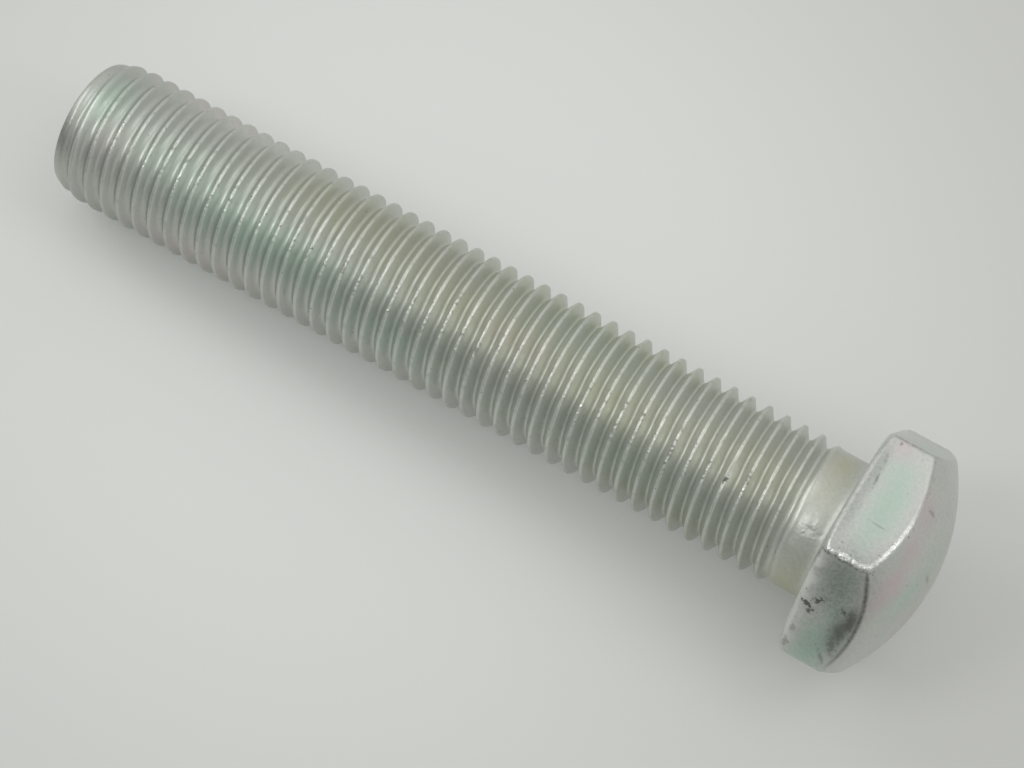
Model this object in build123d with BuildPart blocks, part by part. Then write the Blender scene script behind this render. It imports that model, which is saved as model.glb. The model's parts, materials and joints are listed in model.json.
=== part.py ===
from build123d import *
import os
from math import atan2, degrees

# A hexagon cap screw, 16 mm by 90 mm, forged in one piece from steel bar: a crowned
# hexagon head, a short plain neck and a shank threaded from the neck to the tip.
# It lies on the floor as it comes to rest, with the thread's tip lower than its head.
# Millimetres. +X runs along the shank from the tip to the head and +Z is up.

# Head
across_flats = 23.7
head_height = 10.2
crown_radius = 20.7
corner_round = 0.5
crown_edge_round = 0.25
bearing_bevel = 0.4

# Neck, between the head's bearing face and the thread
neck_diameter = 14.9
neck_length = 3.7
neck_fillet = 1.0

# Threaded shank, drawn at the thread's major diameter
major_diameter = 15.8
thread_pitch = 2.0
length_under_head = 90.0
tip_middle_diameter = 15.0
tip_diameter = 13.9
tip_round_length = 3.1

# The thread rises out of the neck over half a pitch.
run_out = thread_pitch / 2

neck_radius = neck_diameter / 2
major_radius = major_diameter / 2
tip_radius = tip_diameter / 2
tip_middle_radius = tip_middle_diameter / 2
crest_start = neck_length + run_out
crest_end = length_under_head - tip_round_length

# The head lies on the bevelled edge of one flat and the shank on its last full crest,
# so the axis falls towards the tip by this angle.
tilt = degrees(
    atan2(across_flats / 2 - major_radius, crest_end + bearing_bevel)
)

# The screw is formed standing on its head's axis: bearing face at Z = 0, head above.
with BuildPart() as upright_screw:
    # Hexagon blank, with two of its flats facing along X and its corners worn round
    with BuildSketch() as hexagon:
        RegularPolygon(radius=across_flats / 2, side_count=6, major_radius=False, rotation=30)
        fillet(hexagon.vertices(), radius=corner_round)
    extrude(amount=head_height)

    # A sphere trims the crown and leaves an arc at the top of every flat.
    with Locations((0, 0, head_height - crown_radius)):
        Sphere(radius=crown_radius, mode=Mode.INTERSECT)
    crown_face = upright_screw.faces().filter_by(GeomType.SPHERE)
    fillet(crown_face.edges(), radius=crown_edge_round)

    # Bevel round the bearing face
    bearing_face = upright_screw.faces().sort_by(Axis.Z).first
    chamfer(bearing_face.edges(), length=bearing_bevel)

    # Neck, shank and tip, one profile with a hollow fillet under the head
    with BuildSketch(Plane.XZ):
        with BuildLine():
            Line((0, 0), (neck_radius + neck_fillet, 0))
            RadiusArc(
                (neck_radius + neck_fillet, 0),
                (neck_radius, -neck_fillet),
                -neck_fillet,
            )
            Polyline(
                (neck_radius, -neck_fillet),
                (neck_radius, -neck_length),
                (major_radius, -crest_start),
                (major_radius, -crest_end),
            )
            ThreePointArc(
                (major_radius, -crest_end),
                (tip_middle_radius, -(crest_end + 0.6 * tip_round_length)),
                (tip_radius, -length_under_head),
            )
            Polyline(
                (tip_radius, -length_under_head),
                (0, -length_under_head),
                (0, 0),
            )
        make_face()
    revolve(axis=Axis.Z)

# Laid down: the head turns to +X and the tip drops by the tilt.
laid_down = Rot(0, 90 - tilt, 0)
lying_box = (laid_down * upright_screw.part).bounding_box()
rest_place = Pos(-lying_box.center().X, -lying_box.center().Y, -lying_box.min.Z)

with BuildPart() as hex_cap_screw:
    with Locations(rest_place * laid_down):
        add(upright_screw.part)

hex_cap_screw.part.label = "hex_cap_screw"
os.makedirs("parts", exist_ok=True)
export_step(hex_cap_screw.part, "parts/hex_cap_screw.step")
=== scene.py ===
import json
import math

import bpy
import numpy as np
from mathutils import Matrix, Vector


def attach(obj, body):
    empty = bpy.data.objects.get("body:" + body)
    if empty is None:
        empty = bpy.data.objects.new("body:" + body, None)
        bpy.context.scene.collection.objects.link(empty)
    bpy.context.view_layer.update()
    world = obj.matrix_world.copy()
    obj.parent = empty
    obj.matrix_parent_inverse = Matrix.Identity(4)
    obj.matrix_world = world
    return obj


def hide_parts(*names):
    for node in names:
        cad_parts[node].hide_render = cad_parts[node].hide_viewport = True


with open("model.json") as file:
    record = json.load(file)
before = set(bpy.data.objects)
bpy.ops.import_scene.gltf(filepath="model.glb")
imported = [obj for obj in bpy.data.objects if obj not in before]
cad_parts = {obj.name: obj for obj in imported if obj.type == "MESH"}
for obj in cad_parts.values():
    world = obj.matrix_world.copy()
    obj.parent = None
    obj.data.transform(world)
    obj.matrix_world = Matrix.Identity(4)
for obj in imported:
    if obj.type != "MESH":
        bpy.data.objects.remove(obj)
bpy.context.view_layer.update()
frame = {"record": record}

scene = bpy.context.scene
scene.view_settings.view_transform = "Standard"

MM = 0.001

# ---------------------------------------------------------------------------
# The screw's own directions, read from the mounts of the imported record.
# Lengths from here on are millimetres along the axis from the bearing face,
# with the threads at plus and the head at minus.
# ---------------------------------------------------------------------------
mounts = {mount["name"]: mount for mount in frame["record"]["mounts"]}
to_tip = np.array(mounts["threaded_shank"]["axis"])
up_flat = np.array(mounts["wrench_flat_top"]["axis"])
across = np.cross(up_flat, to_tip)
shank_middle = np.array(mounts["threaded_shank"]["pos_m"]) / MM
bearing_point = np.array(mounts["bearing_face"]["pos_m"]) / MM
flat_point = np.array(mounts["wrench_flat_top"]["pos_m"]) / MM
bearing_centre = shank_middle + to_tip * ((bearing_point - shank_middle) @ to_tip)
flat_distance = (flat_point - bearing_centre) @ up_flat
major_radius = mounts["threaded_shank"]["dims"]["r_mm"]
thread_length = mounts["threaded_shank"]["dims"]["length_mm"]
crest_end = (shank_middle - bearing_centre) @ to_tip + thread_length / 2

# Thread
pitch = 2.0
crest_land = pitch / 8
crest_seam = 0.08
crest_blend = 0.07
first_crest = 3.74
root_radius = 6.68
root_blend = 0.30
root_rise = 0.34
root_rise_start = 30.0
root_rise_length = 55.0

# Neck, and the run-out in which the thread grows out of it
neck_radius = 7.45
neck_fillet = 1.0
run_out_start = 3.4
run_out_length = 2.6

# Tip: what its rounding takes off the crests, where the roots close up before it,
# the rim where the helical rows end, and its slightly hollow end face
tip_round_length = 3.1
tip_early_drop = 0.242
tip_late_drop = 0.708
screw_length = crest_end + tip_round_length
closing_start = 1.5
closing_length = 1.1
rim_length = 0.25
rim_width = 0.50
rim_step = 0.12

# Head
head_height = 10.19
crown_radius = 20.7
corner_radius = 0.51
crown_edge = 0.32
bearing_bevel = 0.4
bevel_bulge = 0.40
bevel_inset = 0.04
flat_foot_least = 0.75
corner_bevel_foot = 0.25
corner_bevel_radius = 12.3
corner_bevel_slope = math.tan(math.radians(28))
bead_depth = 0.16


def between(start, end, share):
    """The point a share of the way from start to end."""
    return start * (1.0 - share) + end * share


def softer_least(first, second, blend):
    """The smaller of two values, rounded over where they cross: half of their sum
    less the root of their squared difference plus the squared blend."""
    return 0.5 * (first + second - np.sqrt((first - second) ** 2 + blend**2))


def softer_most(first, second, blend):
    """The larger of two values, rounded over where they cross."""
    return -softer_least(-first, -second, blend)


def smooth_step(value):
    """Rises from 0 to 1 as three squares less two cubes of the value."""
    value = np.clip(value, 0.0, 1.0)
    return value * value * (3.0 - 2.0 * value)


def rounded_turn(start, corner, end, share):
    """A parabola from start to end that aims at the corner between them: the three
    weighted by the squares and the doubled product of the share and its rest."""
    rest = 1.0 - share
    return rest**2 * start + 2.0 * rest * share * corner + share**2 * end


def off_flat_angle(angle):
    """Angle to the middle of the nearest flat."""
    return np.abs((angle + np.pi / 6) % (np.pi / 3) - np.pi / 6)


def hexagon_radius(angle):
    """Distance from the axis to a hexagon with rounded corners: the flat's distance
    over the cosine of the angle off the flat's middle, and near a corner the far
    side of a small circle that touches both flats."""
    off_flat = off_flat_angle(angle)
    straight = flat_distance / np.cos(off_flat)
    centre = (flat_distance - corner_radius) / np.cos(np.pi / 6)
    off_corner = np.pi / 6 - off_flat
    inside = np.maximum(corner_radius**2 - (centre * np.sin(off_corner)) ** 2, 0.0)
    rounded = centre * np.cos(off_corner) + np.sqrt(inside)
    touch = np.arctan((flat_distance - corner_radius) * np.tan(np.pi / 6) / flat_distance)
    return np.where(off_flat > touch, rounded, straight)


def crown_place(radius):
    """Place along the axis of the crown's sphere at a distance from the axis."""
    return crown_radius - head_height - np.sqrt(crown_radius**2 - radius**2)


def flat_end(radius):
    """Place along the axis where a flat ends above the bearing face: a least height,
    or more near the corners, where the bevel climbs with the radius by its slope."""
    climb = corner_bevel_foot + (radius - corner_bevel_radius) * corner_bevel_slope
    return -np.maximum(flat_foot_least, climb)


def tip_envelope(along):
    """Largest radius of the thread near the tip: the crest radius less a straight
    and a squared share of the rounded length, and clear of the crests before it."""
    share = (along - crest_end) / tip_round_length
    early = np.minimum(tip_early_drop * share, 0.8 * share)
    return major_radius - early - tip_late_drop * np.maximum(share, 0.0) ** 2


def thread_radius(along, angle):
    """Distance from the axis to the thread: 60 degree flanks that fall away from a
    right-handed crest line, held between a rounded root and a rounded crest with
    the shallow seam that rolling leaves between its two lips. It grows out of the
    neck over one turn, its root climbs a little on the way to the tip and closes up
    before the rim, and the tip's rounding cuts its crests."""
    turn = (along - first_crest + pitch * angle / (2 * np.pi)) / pitch
    off_crest = np.abs(turn - np.round(turn)) * pitch
    flank = major_radius - (off_crest - crest_land / 2) / np.tan(np.pi / 6)
    envelope = tip_envelope(along)
    toward_tip = smooth_step((along - root_rise_start) / root_rise_length)
    root = root_radius + root_rise * toward_tip
    closing = smooth_step((along - screw_length + closing_start) / closing_length)
    root = between(root, envelope - 0.06, closing)
    profile = softer_most(flank, root - 0.02, root_blend + 0.06 * toward_tip)
    profile = softer_least(profile, major_radius + 0.01, crest_blend)
    seam = crest_seam * np.exp(-((off_crest / (0.35 * crest_land)) ** 2))
    profile = profile - seam * (0.65 + 0.35 * np.sin(1.7 * along + 2.0 * angle))
    rise = smooth_step((along - run_out_start) / run_out_length) ** 0.7
    profile = between(neck_radius, profile, rise)
    return softer_least(profile, envelope, 0.12)


# ---------------------------------------------------------------------------
# Columns round the axis, drawn together at the head's corners; the first lies
# underneath, opposite the upper flat
# ---------------------------------------------------------------------------
half_sector = np.radians([3.2, 7.0, 11.0, 15.0, 19.0, 23.0, 26.5, 28.45, 28.95, 29.45])
sector = np.concatenate([[0.0], half_sector, [np.pi / 6], np.pi / 3 - half_sector[::-1]])
columns = np.concatenate([sector + k * np.pi / 3 for k in range(-3, 3)])
hexagon = hexagon_radius(columns)
flat_foot = flat_end(hexagon)
bearing_edge = np.minimum(hexagon * (1 - bearing_bevel / flat_distance), corner_bevel_radius)
ones = np.ones_like(columns)


def beads(share):
    """Depth of the row of knocks along the corner edges, a share of the way down the
    flat: the positive part of two crossed waves, under a bell round each corner."""
    row = np.maximum(np.sin(34.0 * share + columns), 0.0) * np.abs(np.sin(9.0 * share + 2.0 * columns))
    corner = np.exp(-(((np.pi / 6 - off_flat_angle(columns)) / 0.018) ** 2))
    return bead_depth * row * corner * (1.0 - (2.0 * share - 1.0) ** 6)


def head_rings():
    """Rings from the crown to the neck's end, each a place along the axis and a
    distance from it for every column: the sphere, its rounded edge, the flats, the
    bevel that reaches further at the corners, the bearing face, a quarter circle of
    fillet and the neck."""
    inner = hexagon - crown_edge
    edge = crown_place(hexagon)
    flat_start = edge + crown_edge
    rings = []
    for share in [*np.linspace(0, 0.96, 15)[1:], 0.985, 1.0]:
        rings.append((crown_place(share * inner), share * inner))
    for share in (0.25, 0.5, 0.75, 1.0):
        rings.append((rounded_turn(crown_place(inner), edge, flat_start, share),
                      rounded_turn(inner, hexagon, hexagon, share)))
    for share in [0.03, *np.linspace(0, 1, 21)[1:-1], 0.97, 1.0]:
        rings.append((between(flat_start, flat_foot, share), hexagon - beads(share)))
    for share in np.linspace(0, 1, 8)[1:]:
        rings.append((rounded_turn(flat_foot, bevel_bulge * flat_foot, 0.0, share),
                      rounded_turn(hexagon, hexagon - bevel_inset, bearing_edge, share)))
    foot = neck_radius + neck_fillet
    for share in (0.06, 0.4, 0.8, 1.0):
        rings.append((0.0 * ones, between(bearing_edge, foot, share)))
    for turn in np.linspace(0, np.pi / 2, 7)[1:]:
        rings.append((neck_fillet * (1 - np.cos(turn)) * ones,
                      (foot - neck_fillet * np.sin(turn)) * ones))
    for share in (0.08, 0.35, 0.7):
        rings.append((between(neck_fillet, run_out_start, share) * ones, neck_radius * ones))
    return rings


def thread_rows():
    """Places along the axis, at angle nought, of the helical rows: fourteen to the
    pitch, close together over the crest and in the root."""
    flank_steps = np.array([0.09, 0.16, 0.26, 0.50, 0.72, 0.86])
    steps = np.concatenate([-flank_steps[::-1], [0.0], flank_steps, [pitch / 2]])
    turns = np.arange(-1, int(screw_length / pitch) + 1)
    return (first_crest + pitch * turns[:, None] + steps[None, :]).ravel(), len(steps)


def screw_mesh():
    """Points, faces and the value of each point's place along the axis, its
    distance from it and its angle. Rings and rows share the columns. A row falls by
    one pitch a turn, so past the last column it meets the row one pitch before it,
    and rows that run past the threaded length gather in its end rings."""
    count = len(columns)
    rim_start = screw_length - rim_length
    along, radius = [np.array([-head_height])], [np.array([0.0])]
    for place, distance in head_rings():
        along.append(place)
        radius.append(distance)
    ring_count = len(along) - 1

    rows, a_pitch = thread_rows()
    place = rows[:, None] - pitch * columns[None, :] / (2 * np.pi)
    start, end = place <= run_out_start, place >= rim_start
    inner = ~start & ~end
    place = np.clip(place, run_out_start, rim_start)
    angle = np.broadcast_to(columns, place.shape)
    rim = thread_radius(rim_start * ones, columns)
    along += [run_out_start * ones, place[inner], rim_start * ones]
    radius += [neck_radius * ones, thread_radius(place[inner], angle[inner]), rim]

    first_ring = 1 + ring_count * count
    column = np.broadcast_to(np.arange(count), place.shape)
    inner_count = int(inner.sum())
    number = np.zeros(place.shape, int)
    number[inner] = first_ring + count + np.arange(inner_count)
    number[start] = first_ring + column[start]
    number[end] = first_ring + count + inner_count + column[end]
    last_ring = first_ring + count + inner_count

    for share in (0.25, 0.5, 0.75, 1.0):
        along.append(rounded_turn(rim_start, screw_length, screw_length, share) * ones)
        radius.append(rounded_turn(rim, rim - rim_step, rim - rim_width, share))
    for share in (0.06, 0.35, 0.7):
        along.append(screw_length - rim_step * smooth_step(share * 1.5) * ones)
        radius.append((rim - rim_width) * (1 - share))
    along.append(np.array([screw_length - rim_step]))
    radius.append(np.array([0.0]))

    angles = [np.array([0.0])] + [columns] * ring_count + [columns, angle[inner], columns]
    angles += [columns] * 7 + [np.array([0.0])]
    along, radius, angles = (np.concatenate(part) for part in (along, radius, angles))

    here = np.arange(count)
    there = (here + 1) % count
    quads = []
    for k in range(ring_count):
        low, high = 1 + k * count, 1 + (k + 1) * count
        quads.append(np.stack([low + here, low + there, high + there, high + here], 1))
    following = np.concatenate([number[:, 1:], np.roll(number[:, :1], a_pitch, axis=0)], 1)
    following[:a_pitch, -1] = number[0, 0]
    quads.append(np.stack([number[:-1], following[:-1], following[1:], number[1:]], 2).reshape(-1, 4))
    for k in range(7):
        low, high = last_ring + k * count, last_ring + (k + 1) * count
        quads.append(np.stack([low + here, low + there, high + there, high + here], 1))
    pole, last = len(along) - 1, last_ring + 7 * count
    quads.append(np.stack([0 * here, 0 * here, 1 + there, 1 + here], 1))
    quads.append(np.stack([last + here, last + there, pole + 0 * here, pole + 0 * here], 1))
    quads = np.concatenate(quads)
    fresh = quads != np.roll(quads, 1, axis=1)
    four = fresh.sum(1) == 4
    three = fresh.sum(1) == 3
    faces = quads[four][:, ::-1].tolist() + quads[three][fresh[three]].reshape(-1, 3)[:, ::-1].tolist()
    return faces, along, radius, angles


def spot(along, turn, distance, aside=0.0):
    """A place in the screw's own millimetres, along, across and up: at an angle in
    degrees from the upper flat's middle, a distance out, and a step aside."""
    turn = math.radians(turn)
    return np.array([along, math.sin(turn) * distance + math.cos(turn) * aside,
                     math.cos(turn) * distance - math.sin(turn) * aside])


def soft_patch(where, centre, half_length, half_width):
    """A bell of the distance from a centre, the part along the axis and the part
    across it each measured in its own half size."""
    step = where - centre
    across_axis = np.hypot(step[:, 1], step[:, 2]) / half_width
    return np.exp(-((step[:, 0] / half_length) ** 2) - across_axis**2)


faces, along, radius, angles = screw_mesh()
placed = np.stack([along, radius * np.sin(angles), radius * np.cos(angles)], 1)

# A nick where one crest was struck, and knocks on other crests: the place along the
# axis, the angle in degrees, the depth, and the half sizes along and across it
NICKS = [
    (11.5, 22.0, 0.34, 0.28, 1.1),
    (46.9, -14.0, 0.16, 0.30, 0.9),
    (71.0, 9.0, 0.14, 0.30, 1.0),
    (28.6, 152.0, 0.20, 0.35, 1.3),
    (60.2, -118.0, 0.18, 0.35, 1.2),
]
for place, turn, depth, half_length, half_width in NICKS:
    radius = radius - depth * soft_patch(placed, spot(place, turn, major_radius), half_length, half_width)

ring = np.cos(angles)[:, None] * up_flat + np.sin(angles)[:, None] * across
points = (bearing_centre + along[:, None] * to_tip + radius[:, None] * ring) * MM
mesh = bpy.data.meshes.new("hex_cap_screw_body")
mesh.from_pydata(points.tolist(), [], faces)
mesh.validate()
mesh.shade_smooth()
screw = bpy.data.objects.new("zinc_plated_hex_cap_screw", mesh)
scene.collection.objects.link(screw)

# ---------------------------------------------------------------------------
# What the finish follows: the crests, which count from 0.12 mm to 0.02 mm under the
# major radius, the distance from the head's sharp edges in millimetres, where
# each tint of the film has gathered, and where dirt, wear, painted shade and painted light lie
# ---------------------------------------------------------------------------
on_thread = (along > run_out_start) & (along < screw_length - 0.3)
crest = np.clip((radius - major_radius + 0.12) / 0.1, 0, 1) * on_thread

corner_aside = flat_distance * math.tan(math.pi / 6)
off_flat = off_flat_angle(angles)
rim_radius = hexagon_radius(angles)
from_crown = np.maximum(along - crown_place(rim_radius), rim_radius - radius)
from_corner = corner_aside - radius * np.sin(off_flat) + 3.0 * (rim_radius - radius)
from_bevel = np.abs(along - flat_end(rim_radius) - 0.2)
edge = np.minimum(np.minimum(from_crown, from_corner), from_bevel + 0.35)
edge = np.where(along < 0.02, np.clip(edge, 0.0, 3.0), 3.0)

# Tints of the film, wear, dirt, painted shade and painted light: each patch's centre,
# its half length along the axis, its half width across it, and its strength
FILM = {
    "green": [
        (spot(-2.9, 0, 11.85, -3.6), 1.5, 2.2, 0.46),
        (spot(-3.9, 0, 11.85, -1.2), 1.6, 2.2, 0.42),
        (spot(-3.5, 0, 11.85, 1.0), 1.5, 1.9, 0.44),
        (spot(-3.6, 0, 11.85, 3.4), 1.6, 2.0, 0.46),
        (spot(-3.3, 60, 11.85, -4.4), 1.4, 2.2, 0.50),
        (spot(-3.4, 60, 11.85, 3.9), 1.8, 2.6, 0.80),
        (spot(-2.6, 60, 11.85, 6.4), 1.2, 1.8, 0.45),
        (spot(-4.0, 60, 11.85, -0.8), 0.8, 2.8, 0.55),
        (spot(-9.2, 38, 6.8), 2.0, 2.0, 0.50),
        (spot(-9.6, -3, 5.5), 2.0, 2.6, 0.25),
        (spot(-7.4, 20, 11.6), 1.5, 1.6, 0.50),
        (spot(-8.0, 48, 9.6), 1.5, 2.2, 0.40),
        (spot(-4.0, -60, 11.85, 2.6), 1.8, 2.4, 0.40),
        (spot(20.0, 56, 7.6), 13.0, 2.6, 0.22),
        (spot(31.0, -25, 7.6), 9.0, 4.0, 0.15),
        (spot(64.0, 42, 7.6), 9.0, 2.6, 0.45),
        (spot(86.5, -5, 7.6), 2.0, 3.5, 0.40),
        (spot(76.0, 25, 7.6), 8.0, 4.0, 0.22),
        (spot(48.0, 60, 7.6), 8.0, 3.0, 0.25),
        (spot(16.0, -150, 7.6), 8.0, 5.0, 0.30),
        (spot(58.0, 170, 7.6), 12.0, 5.0, 0.35),
        (spot(-3.2, 180, 11.85, 2.0), 1.8, 3.2, 0.50),
        (spot(-3.8, -120, 11.85, -2.4), 1.8, 2.6, 0.45),
    ],
    "pink": [
        (spot(-2.2, 0, 11.85, -5.9), 1.2, 1.3, 0.45),
        (spot(-5.2, 0, 11.85, 4.6), 0.8, 1.4, 0.25),
        (spot(-7.4, -9.5, 11.2), 1.4, 1.8, 0.50),
        (spot(-7.8, 12.5, 10.5), 1.4, 1.8, 0.60),
        (spot(-7.9, 33, 10.4), 1.4, 1.7, 0.80),
        (spot(-7.2, 46, 11.2), 1.4, 1.7, 0.50),
        (spot(-10.0, 120, 4.0), 2.0, 3.0, 0.35),
        (spot(78.0, -62, 7.8), 8.0, 1.8, 0.40),
        (spot(84.0, 30, 7.8), 2.5, 2.0, 0.20),
        (spot(73.0, 95, 7.8), 10.0, 2.2, 0.30),
        (spot(36.0, 10, 7.8), 5.0, 1.4, 0.15),
        (spot(-3.6, 120, 11.85, 1.0), 2.0, 2.6, 0.45),
    ],
    "olive": [
        (spot(2.6, -32, 7.5), 1.3, 2.2, 0.50),
        (spot(2.0, -5, 7.5), 1.8, 3.0, 0.15),
        (spot(2.0, 80, 7.5), 1.8, 4.0, 0.35),
        (spot(2.2, 150, 7.5), 1.8, 6.0, 0.60),
        (spot(9.0, 8, 7.2), 6.0, 3.6, 0.25),
        (spot(24.0, 14, 7.2), 9.0, 3.4, 0.27),
        (spot(41.0, 4, 7.2), 10.0, 3.4, 0.27),
        (spot(58.0, -20, 7.2), 10.0, 3.4, 0.30),
        (spot(30.0, -50, 7.2), 20.0, 2.6, 0.33),
        (spot(14.0, 90, 7.4), 10.0, 3.0, 0.25),
    ],
    # Dark soil: partly real dirt on the near flat, partly painted shade that darkens that flat, the upper
    # flat, the neck, the thread's lower side by the head and the tip's rim
    "dirt_and_painted_shade": [
        (spot(-3.2, 60, 11.85, -5.2), 3.6, 2.8, 0.62),
        (spot(-3.4, 60, 11.85, -1.6), 3.2, 2.6, 0.48),
        (spot(-5.0, 60, 11.85, 1.6), 1.0, 2.2, 0.70),
        (spot(-3.4, 60, 11.85, 3.6), 3.2, 3.2, 0.34),
        (spot(-3.5, -120, 11.85, 1.8), 2.2, 2.8, 0.40),
        (spot(89.6, 42, 7.0), 0.9, 2.4, 0.75),
        (spot(-1.0, 0, 11.85, -2.6), 0.5, 3.4, 0.35),
        (spot(-1.0, 0, 11.85, 2.8), 0.5, 2.6, 0.22),
        (spot(-0.4, 0, 11.85, 0.0), 0.4, 7.0, 0.20),
        (spot(-5.9, 60, 11.85, -0.6), 0.6, 1.6, 0.60),
        (spot(-3.2, 0, 11.85, 1.6), 3.0, 5.0, 0.09),
        (spot(2.2, -8, 7.45), 2.0, 3.2, 0.10),
        (spot(2.2, 64, 7.45), 2.0, 2.6, 0.12),
        (spot(16.0, 78, 7.6), 8.0, 4.0, 0.10),
        (spot(74.0, 2, 7.6), 9.0, 2.6, 0.06),
    ],
    # Painted light: paler patches where the bevels under the flats, the far flat, the crown and the thread
    # catch more light
    "pale": [
        (spot(-0.4, 60, 11.85, -5.4), 0.7, 1.9, 0.75),
        (spot(-0.5, 60, 11.85, -2.2), 0.8, 1.8, 0.70),
        (spot(-0.5, 60, 11.85, 1.0), 0.7, 1.8, 0.50),
        (spot(-0.6, 60, 11.85, 4.2), 0.8, 2.2, 0.60),
        (spot(-0.5, -60, 11.85, 0.0), 0.8, 5.0, 0.50),
        (spot(-0.5, 180, 11.85, 1.0), 0.8, 5.0, 0.50),
        (spot(-8.2, 112, 9.6), 2.0, 4.5, 0.30),
        (spot(-2.0, -60, 11.85, 1.4), 1.4, 2.6, 0.25),
        (spot(74.0, -50, 7.8), 10.0, 3.0, 0.40),
    ],
    "worn": [
        (spot(-2.0, 30, 13.2), 1.1, 0.9, 1.0),
        (spot(-3.3, 30, 13.2), 1.8, 1.0, 1.0),
        (spot(-6.3, 0, 11.85, 1.2), 0.8, 1.7, 0.40),
        (spot(-5.9, 0, 11.85, 3.9), 0.8, 1.8, 0.50),
        (spot(-5.2, 0, 11.85, 6.0), 0.8, 1.4, 0.45),
        (spot(-0.5, 0, 11.85, 6.4), 0.5, 0.9, 0.15),
        (spot(-0.5, 60, 11.85, 3.4), 0.7, 3.0, 1.00),
        (spot(-0.5, 0, 11.85, -6.0), 0.8, 1.6, 0.35),
        (spot(-2.5, 150, 13.2), 2.6, 1.2, 0.70),
        (spot(-3.4, -90, 13.2), 2.0, 1.2, 0.60),
        (spot(-5.8, 180, 11.85, 3.0), 0.9, 3.2, 0.60),
        (spot(12.0, 28, 7.9), 14.0, 2.8, 0.80),
        (spot(42.0, 24, 7.9), 24.0, 2.8, 1.00),
        (spot(76.0, 16, 7.9), 14.0, 2.4, 0.75),
        (spot(50.0, 170, 7.9), 40.0, 4.0, 0.60),
    ],
    "grime": [
        (spot(-5.2, 60, 11.85, -6.0), 0.9, 1.3, 1.0),
        (spot(-5.8, 60, 11.85, -4.0), 0.9, 1.5, 1.0),
        (spot(-6.3, 60, 11.85, -1.4), 0.9, 2.0, 0.9),
        (spot(-6.3, 60, 11.85, 1.6), 0.9, 2.2, 0.8),
        (spot(-5.8, 60, 11.85, 4.4), 0.9, 1.8, 0.6),
        (spot(-6.3, 0, 11.85, -2.2), 0.8, 2.0, 0.45),
        (spot(-5.7, 0, 11.85, -5.0), 0.8, 1.8, 0.45),
        (spot(-2.6, -30, 13.3), 2.4, 0.9, 0.50),
        (spot(-6.2, 120, 11.85, 0.0), 1.0, 4.0, 0.60),
        (spot(-6.2, -120, 11.85, 1.0), 1.0, 4.0, 0.50),
    ],
}

# Soft waves that a tool pressed into the neck, and a highlight painted over them
NECK_WAVES_AND_PAINTED_HIGHLIGHT = (spot(2.1, 30, 7.45), 1.0, 1.5)


def paint(name, values):
    """Keeps one value a point on the mesh for the material to read."""
    layer = mesh.attributes.new(name, "FLOAT", "POINT")
    layer.data.foreach_set("value", values.astype(np.float32))


paint("crest", crest)
paint("edge", edge)
for name, patches in FILM.items():
    gathered = sum(
        strength * soft_patch(placed, centre, half_length, half_width)
        for centre, half_length, half_width, strength in patches)
    paint(name, np.clip(gathered, 0.0, 1.2))
paint("waves_and_painted_highlight", soft_patch(placed, *NECK_WAVES_AND_PAINTED_HIGHLIGHT))


# ---------------------------------------------------------------------------
# Materials
# ---------------------------------------------------------------------------
def colour(code):
    """A linear colour from six sRGB hex digits: each channel less 0.055 offset,
    scaled and raised to 2.4, or a twelfth of it when very dark."""
    parts = [int(code[k : k + 2], 16) / 255 for k in (1, 3, 5)]
    return [((c + 0.055) / 1.055) ** 2.4 if c > 0.04045 else c / 12.92 for c in parts] + [1.0]


def node(tree, kind, inputs=(), output=0, **settings):
    """Adds a shader node with its settings and gives back one of its outputs. The
    inputs are values or outputs to link, in order, or by name or number."""
    made = tree.nodes.new(kind)
    for name, value in settings.items():
        setattr(made, name, value)
    for name, value in inputs.items() if isinstance(inputs, dict) else enumerate(inputs):
        if isinstance(value, bpy.types.NodeSocket):
            tree.links.new(value, made.inputs[name])
        else:
            made.inputs[name].default_value = value
    return made.outputs[output] if made.outputs else None


def new_material(name):
    """An empty material and its node tree."""
    made = bpy.data.materials.new(name)
    made.use_nodes = True
    made.node_tree.nodes.clear()
    return made, made.node_tree


# Zinc electroplated bright on forged and rolled steel, then dipped in a thin clear
# passivation. The plate gives a satin grey metal, the dip lays a film over it whose
# thickness shows as faint green, pink and olive clouds, and the barrel it was plated
# in leaves specks, knocks on every crest and worn bright edges on the head.
zinc, tree = new_material("bright_zinc_plate_with_pale_passivation")
own_axes = Matrix((to_tip, across, up_flat))
shift = -(own_axes @ Vector(bearing_centre))
where = node(tree, "ShaderNodeTexCoord", output="Object")
where = node(tree, "ShaderNodeMapping", {
    "Vector": where, "Location": shift, "Rotation": own_axes.to_euler(), "Scale": (1 / MM,) * 3})
down_axis = node(tree, "ShaderNodeSeparateXYZ", [where])
kept = {name: node(tree, "ShaderNodeAttribute", output="Fac", attribute_name=name)
        for name in ("crest", "edge", "waves_and_painted_highlight", *FILM)}

# Clouds 5 mm across, mottling 1 mm across, grain 0.3 mm across, and marks of rolling
# that run round the thread, 0.2 mm apart, from the distance along and off the axis
clouds = node(tree, "ShaderNodeTexNoise", {"Vector": where, "Scale": 0.2, "Detail": 1.0})
mottle = node(tree, "ShaderNodeTexNoise", {"Vector": where, "Scale": 0.9, "Detail": 2.0})
grain = node(tree, "ShaderNodeTexNoise", {"Vector": where, "Scale": 3.2, "Detail": 1.0})
off_axis = node(tree, "ShaderNodeVectorMath", [where, (0.0, 1.0, 1.0)], operation="MULTIPLY")
off_axis = node(tree, "ShaderNodeVectorMath", [off_axis], "Value", operation="LENGTH")
unrolled = node(tree, "ShaderNodeCombineXYZ", [down_axis, off_axis])
unrolled = node(tree, "ShaderNodeVectorMath", [where, (0.1, 0.1, 0.1), unrolled], operation="MULTIPLY_ADD")
rolling = node(tree, "ShaderNodeTexNoise", {"Vector": unrolled, "Scale": 4.5, "Detail": 1.0})
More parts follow.
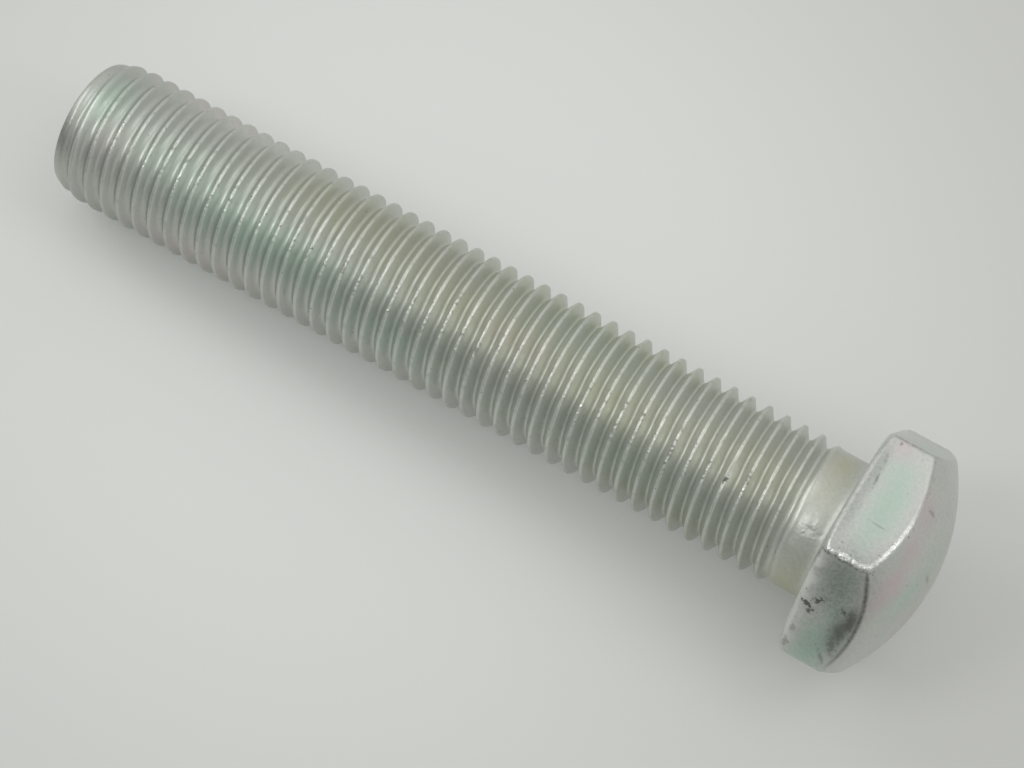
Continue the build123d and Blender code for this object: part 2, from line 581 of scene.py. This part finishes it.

# Coats over the bare plate: the shank darkens toward the tip, the film's tints lie
# where it gathered, dirt with painted shade and the painted light lie in patches,
# all broken up by the mottling or, for the dirt and painted shade, by the grain
tone = node(tree, "ShaderNodeMix", {0: clouds, 6: colour("#cacdc7"), 7: colour("#d5d6d2")}, 2,
            data_type="RGBA")
darker_toward_tip = node(tree, "ShaderNodeMapRange", [down_axis, 0.0, 78.0, 0.16, 0.54])
shank = node(tree, "ShaderNodeMapRange", [down_axis, -0.1, 0.3])
darker_toward_tip = node(tree, "ShaderNodeMath", [darker_toward_tip, shank], operation="MULTIPLY")
dusty = node(tree, "ShaderNodeMapRange", [grain, 0.38, 0.66, 0.0, 0.26])
uneven = node(tree, "ShaderNodeMapRange", [mottle, 0.3, 0.7, 0.75, 1.2])
patchy = node(tree, "ShaderNodeMapRange", [mottle, 0.35, 0.6, 0.4, 1.3])
gritty = node(tree, "ShaderNodeMapRange", [grain, 0.3, 0.7, 0.84, 1.12])
coats = [(darker_toward_tip, "#abb0a7"), (dusty, "#acb1a9")]
for name, code, breaks in (("olive", "#bebc98", uneven), ("green", "#b2cebd", uneven),
                           ("pink", "#d2bbc1", uneven), ("dirt_and_painted_shade", "#747a74", gritty),
                           ("pale", "#dadbd7", patchy)):
    share = node(tree, "ShaderNodeMath", [kept[name], breaks], operation="MULTIPLY", use_clamp=True)
    coats.append((share, code))

# Rubbed crests and edges: clean plate, brighter and smoother, in an uneven line; on the neck's waves the
# same bright colour is a painted highlight
ragged = node(tree, "ShaderNodeMath", [mottle, 0.9, kept["edge"]], operation="MULTIPLY_ADD")
ragged = node(tree, "ShaderNodeMath", [kept["worn"], -0.30, ragged], operation="MULTIPLY_ADD")
edge_line = node(tree, "ShaderNodeMapRange", [ragged, 0.42, 0.72, 1.0, 0.0])
edge_wear = node(tree, "ShaderNodeMapRange", [kept["worn"], 0.0, 0.8, 0.12, 1.0])
rubbed_edge = node(tree, "ShaderNodeMath", [edge_line, edge_wear], operation="MULTIPLY")
crest_wear = node(tree, "ShaderNodeMapRange", [kept["worn"], 0.0, 1.0, 0.30, 1.0])
crest_wear = node(tree, "ShaderNodeMath", [kept["crest"], crest_wear], operation="MULTIPLY")
broken = node(tree, "ShaderNodeMapRange", [grain, 0.38, 0.62, 0.0, 0.8])
rubbed_crest = node(tree, "ShaderNodeMath", [crest_wear, broken], operation="MULTIPLY")
wear_and_painted_highlight = node(tree, "ShaderNodeMath", [rubbed_edge, rubbed_crest], operation="MAXIMUM")
# Painted highlight: the neck's waves get the bright plate colour
painted_neck_highlight = node(tree, "ShaderNodeMath", [kept["waves_and_painted_highlight"], 0.5], operation="MULTIPLY")
wear_and_painted_highlight = node(tree, "ShaderNodeMath", [wear_and_painted_highlight, painted_neck_highlight], operation="MAXIMUM")
coats.append((wear_and_painted_highlight, "#dcdeda"))

# Specks: small pits that hold dirt, more of them on the crests and along the edges,
# chips out of the crests, and the line of grime along some edges
level = node(tree, "ShaderNodeMath", [crest_wear, -0.165, 0.80], operation="MULTIPLY_ADD")
by_edge = node(tree, "ShaderNodeMapRange", [kept["edge"], 0.1, 1.4, 0.07, 0.0])
level = node(tree, "ShaderNodeMath", [level, by_edge], operation="SUBTRACT")
specks = node(tree, "ShaderNodeMath", [grain, level], operation="SUBTRACT")
specks = node(tree, "ShaderNodeMapRange", [specks, -0.03, 0.04, 0.0, 0.7])
chips = node(tree, "ShaderNodeMath", [grain, 0.6, mottle], operation="MULTIPLY_ADD")
chips = node(tree, "ShaderNodeMapRange", [chips, 0.88, 0.95, 0.0, 0.65])
chips = node(tree, "ShaderNodeMath", [chips, crest_wear], operation="MULTIPLY")
line = node(tree, "ShaderNodeMath", [grain, 0.3, kept["edge"]], operation="MULTIPLY_ADD")
line = node(tree, "ShaderNodeMapRange", [line, 0.20, 0.50, 0.9, 0.0])
line = node(tree, "ShaderNodeMath", [line, kept["grime"]], operation="MULTIPLY")
marked = node(tree, "ShaderNodeMath", [specks, chips], operation="MAXIMUM")
marked = node(tree, "ShaderNodeMath", [marked, line], operation="MAXIMUM")

# Handling marks: each a stretched spot with a ragged outline, as its place in the
# screw's millimetres, the angle of the face it is on, its turn on that face, its
# half sizes and how dark it is
MARKS = [
    (spot(-1.2, 60, 11.85, 0.1), 60, 70, 0.24, 0.80, 0.9),
    (spot(-1.6, 60, 11.85, 0.7), 60, 20, 0.24, 0.40, 0.8),
    (spot(-2.2, 60, 11.85, -1.0), 60, 130, 0.26, 0.75, 0.9),
    (spot(-4.6, 60, 11.85, -1.2), 60, 10, 0.26, 0.34, 0.8),
    (spot(-5.6, 60, 11.85, -0.3), 60, 0, 0.50, 1.5, 0.6),
    (spot(-5.3, 60, 11.85, 1.6), 60, 10, 0.55, 1.3, 0.5),
    (spot(-5.0, 60, 11.85, 3.4), 60, 25, 0.40, 1.1, 0.5),
    (spot(-4.4, 60, 11.85, 5.0), 60, 35, 0.22, 1.0, 0.4),
    (spot(-0.9, 60, 11.85, 3.4), 60, 10, 0.30, 0.50, 0.3),
    (spot(-0.7, 60, 11.85, 5.6), 60, 0, 0.35, 0.70, 0.35),
    (spot(-2.6, 60, 11.85, -6.45), 60, 0, 2.4, 0.22, 0.7),
    (spot(-1.35, 0, 11.85, -1.9), 0, 6, 0.16, 0.90, 0.5),
    (spot(-1.15, 0, 11.85, -4.2), 0, 12, 0.14, 0.60, 0.3),
    (spot(-1.7, 0, 11.85, -6.3), 0, 40, 0.24, 0.26, 0.5),
    (spot(-3.8, 0, 11.85, 2.3), 0, 86, 0.08, 1.1, 0.3),
    (spot(-5.2, 0, 11.85, 4.9), 0, 80, 0.10, 0.35, 0.4),
    (spot(-9.75, 20, 4.3), 0, 0, 1.0, 0.25, 0.35),
    (spot(-7.7, -12, 10.5), 0, 0, 1.0, 0.25, 0.35),
    (spot(-4.5, -60, 11.85, -4.3), -60, 70, 0.16, 0.7, 0.35),
    (spot(11.6, 27, 7.75), 27, 0, 0.24, 0.42, 0.9),
    (spot(-2.6, 180, 11.85, -2.5), 180, 35, 0.18, 1.1, 0.5),
    (spot(-5.0, 120, 11.85, 2.0), 120, 60, 0.22, 0.8, 0.4),
]
wander = node(tree, "ShaderNodeMapRange", [mottle, 0.0, 1.0, -1.4, 0.6])
wander = node(tree, "ShaderNodeMath", [grain, 3.6, wander], operation="MULTIPLY_ADD")
for centre, face_turn, turn, half_length, half_width, depth in MARKS:
    face = Matrix.Rotation(-math.radians(face_turn), 3, "X") @ Matrix.Rotation(math.radians(turn), 3, "Z")
    local = node(tree, "ShaderNodeMapping", {
        "Vector": where, "Location": centre, "Rotation": face.to_euler(),
        "Scale": (half_length, half_width, 1.0)}, vector_type="TEXTURE")
    distance = node(tree, "ShaderNodeVectorMath", [local], "Value", operation="LENGTH")
    distance = node(tree, "ShaderNodeMath", [distance, wander], operation="ADD")
    mark = node(tree, "ShaderNodeMapRange", [distance, 1.8, 2.5, depth, 0.0])
    marked = node(tree, "ShaderNodeMath", [marked, mark], operation="MAXIMUM")
coats.append((marked, "#5a5b54"))
for share, code in coats:
    tone = node(tree, "ShaderNodeMix", {0: share, 6: tone, 7: colour(code)}, 2, data_type="RGBA")

# Satin plate, duller in the mottling, on the neck and under dirt, and smoother where
# rubbed and under the neck's painted highlight
neck = node(tree, "ShaderNodeMapRange", [down_axis, 3.0, 4.2, 1.0, 0.0])
past_head = node(tree, "ShaderNodeMapRange", [down_axis, -0.1, 0.1])
neck = node(tree, "ShaderNodeMath", [neck, past_head], operation="MULTIPLY")
rough = node(tree, "ShaderNodeMapRange", [mottle, 0.3, 0.7, 0.34, 0.42])
for share, change in ((neck, 0.14), (wear_and_painted_highlight, -0.08), (marked, 0.20)):
    rough = node(tree, "ShaderNodeMath", [share, change, rough], operation="MULTIPLY_ADD")

# Relief in millimetres: rolling marks, soft waves, grain, and knocks where the
# surface stands proud
height = node(tree, "ShaderNodeMath", [rolling, 0.012], operation="MULTIPLY")
waves = node(tree, "ShaderNodeMath", [kept["waves_and_painted_highlight"], 0.40, 0.014], operation="MULTIPLY_ADD")
height = node(tree, "ShaderNodeMath", [mottle, waves, height], operation="MULTIPLY_ADD")
proud = node(tree, "ShaderNodeMapRange", [kept["edge"], 0.3, 0.8, 1.0, 0.0])
proud = node(tree, "ShaderNodeMath", [kept["worn"], proud], operation="MULTIPLY")
proud = node(tree, "ShaderNodeMath", [crest_wear, proud], operation="MAXIMUM")
knocks = node(tree, "ShaderNodeMath", [proud, 0.13, 0.008], operation="MULTIPLY_ADD")
height = node(tree, "ShaderNodeMath", [grain, knocks, height], operation="MULTIPLY_ADD")
relief = node(tree, "ShaderNodeBump", {"Height": height, "Distance": MM, "Strength": 1.0})
surface = node(tree, "ShaderNodeBsdfPrincipled", {
    "Base Color": tone, "Metallic": 0.8, "Roughness": rough, "Normal": relief})
node(tree, "ShaderNodeOutputMaterial", [surface])
mesh.materials.append(zinc)
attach(screw, "root")
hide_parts("hex_cap_screw")

# ---------------------------------------------------------------------------
# Floor, world, lamps and camera
# ---------------------------------------------------------------------------
floor_mesh = bpy.data.meshes.new("floor_sheet")
floor_mesh.from_pydata([(-3, -3, 0), (3, -3, 0), (3, 3, 0), (-3, 3, 0)], [], [(0, 1, 2, 3)])
floor = bpy.data.objects.new("floor", floor_mesh)
scene.collection.objects.link(floor)
paper, tree = new_material("matt_grey_white_paper")
place = node(tree, "ShaderNodeTexCoord", output="Object")
# Painted pool of light: the paper is lighter round a point beside the screw and darker further out
distance = node(tree, "ShaderNodeVectorMath", [place, (-0.014, 0.004, 0.0)], "Value", operation="DISTANCE")
away = node(tree, "ShaderNodeMapRange", [distance, 0.02, 0.09], interpolation_type="SMOOTHSTEP")
tone = node(tree, "ShaderNodeMix", {0: away, 6: colour("#d8dad7"), 7: colour("#c3c4c1")}, 2,
            data_type="RGBA")
shade = node(tree, "ShaderNodeMix", {0: away, 6: colour("#d0d2cf"), 7: colour("#c6c7c4")}, 2,
             data_type="RGBA")
seen = node(tree, "ShaderNodeLightPath", output="Is Camera Ray")
for kind in ("Is Glossy Ray", "Is Transmission Ray"):
    ray = node(tree, "ShaderNodeLightPath", output=kind)
    seen = node(tree, "ShaderNodeMath", [seen, ray], operation="MAXIMUM")
evenness = node(tree, "ShaderNodeMapRange", [distance, 0.2, 0.5, 0.15, 1.0])
evenness = node(tree, "ShaderNodeMath", [seen, evenness], operation="MULTIPLY")
matt = node(tree, "ShaderNodeBsdfDiffuse", {"Color": tone})
even = node(tree, "ShaderNodeEmission", {"Color": shade})
surface = node(tree, "ShaderNodeMixShader", [evenness, matt, even])
node(tree, "ShaderNodeOutputMaterial", [surface])
floor_mesh.materials.append(paper)

world = bpy.data.worlds.new("soft_room")
scene.world = world
world.use_nodes = True
tree = world.node_tree
tree.nodes.clear()
direction = node(tree, "ShaderNodeTexCoord", output="Generated")
rise = node(tree, "ShaderNodeSeparateXYZ", [direction], "Z")

# Grey levels of the room over the height of the direction looked in, from the floor
# to overhead
room = node(tree, "ShaderNodeValToRGB", [rise])
ROOM_LEVELS = [(0.0, 0.60), (0.4, 0.69), (0.7, 0.77), (0.88, 0.83), (1.0, 0.80)]
ramp = room.node.color_ramp
while len(ramp.elements) < len(ROOM_LEVELS):
    ramp.elements.new(0.5)
for element, (place, level) in zip(ramp.elements, ROOM_LEVELS):
    element.position = place
    element.color = (level, level, level * 0.99, 1)

# One side of the room is darker
dark_side = node(tree, "ShaderNodeVectorMath", [direction, (-0.20, -0.945, 0.26)], "Value",
                 operation="DOT_PRODUCT")
dark_side = node(tree, "ShaderNodeMapRange", [dark_side, 0.62, 0.97, 1.0, 0.42],
                 interpolation_type="SMOOTHSTEP")
lit = node(tree, "ShaderNodeVectorMath", {0: room, "Scale": dark_side}, operation="SCALE")
background = node(tree, "ShaderNodeBackground", [lit, 1.0])
node(tree, "ShaderNodeOutputWorld", [background])


def lamp(name, azimuth, elevation, distance, size, watts):
    """A round area lamp aimed at the screw from a distance in metres, at an angle in
    degrees round it from the -Y side toward +X, and at a height angle."""
    data = bpy.data.lights.new(name, "AREA")
    data.shape, data.size, data.energy = "DISK", size, watts
    made = bpy.data.objects.new(name, data)
    scene.collection.objects.link(made)
    turn, tilt = math.radians(azimuth), math.radians(elevation)
    back = Vector((math.sin(turn) * math.cos(tilt), -math.cos(turn) * math.cos(tilt), math.sin(tilt)))
    made.location = back * distance
    made.rotation_euler = back.to_track_quat("Z", "Y").to_euler()


lamp("key_box_behind_right", 125, 64, 0.9, 0.45, 0.60)
lamp("low_window_right", 101, 34, 0.9, 0.30, 0.60)
lamp("low_window_left", 262, 36, 0.9, 0.45, 1.05)
lamp("small_box_above_viewer", -52, 50, 0.9, 0.32, 1.00)

# The camera stands near the head, looks down steeply and is rolled a little
lens = bpy.data.cameras.new("camera")
lens.lens, lens.sensor_width = 94.95, 36.0
lens.clip_start, lens.clip_end = 0.01, 20.0
camera = bpy.data.objects.new("camera", lens)
scene.collection.objects.link(camera)
turn, tilt, roll = (math.radians(angle) for angle in (26.366, 65.972, 5.533))
back = Vector((math.sin(turn) * math.cos(tilt), -math.cos(turn) * math.cos(tilt), math.sin(tilt)))
aim = back.to_track_quat("Z", "Y").to_matrix() @ Matrix.Rotation(roll, 3, "Z")
camera.rotation_euler = aim.to_euler()
camera.location = Vector((0.003018, -0.00121, 0.006)) + back * 0.27774
scene.camera = camera
